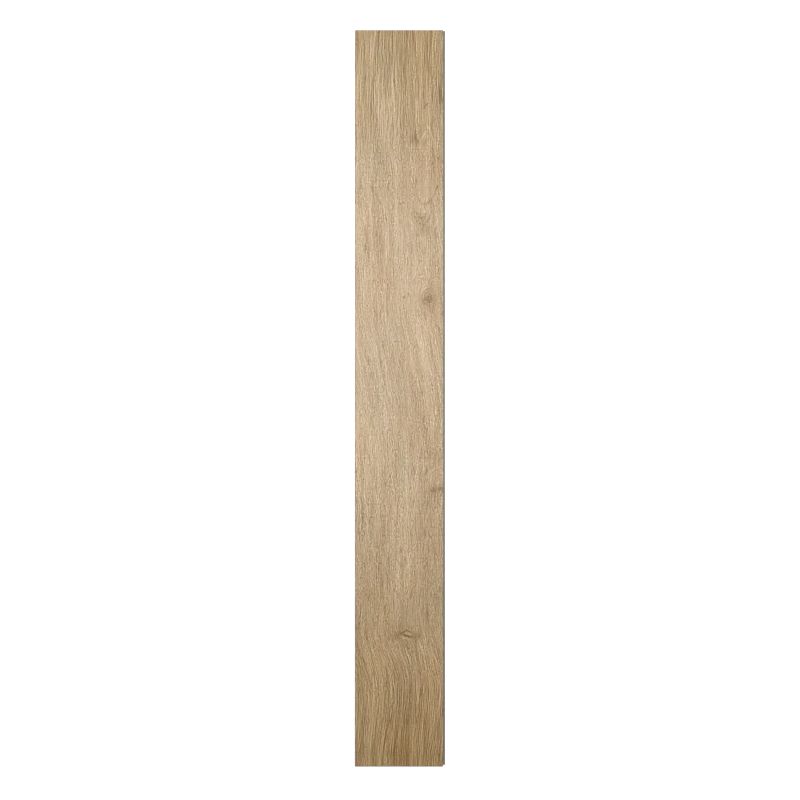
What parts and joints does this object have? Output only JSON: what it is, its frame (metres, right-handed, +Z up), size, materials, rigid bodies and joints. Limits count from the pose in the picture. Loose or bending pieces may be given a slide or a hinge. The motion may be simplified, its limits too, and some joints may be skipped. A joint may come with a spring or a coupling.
{
  "type": "vinyl floor plank",
  "caption": "Long flat click-lock vinyl floor plank with a printed pale oak face, a tongue and a locking lip milled along its long sides and a tongue and groove on its ends.",
  "frame": {"origin": "centre of the overall bounding box at the underside, where the plank rests on the floor", "axes": "+Z up through the printed face, +Y along the plank's length to the grooved end, +X across it to the locking lip"},
  "size_m": [0.187, 1.525, 0.005],
  "materials": {
    "plank": "matte"
  },
  "bodies": {
    "root": {"plank": "plank"}
  },
  "joints": []
}
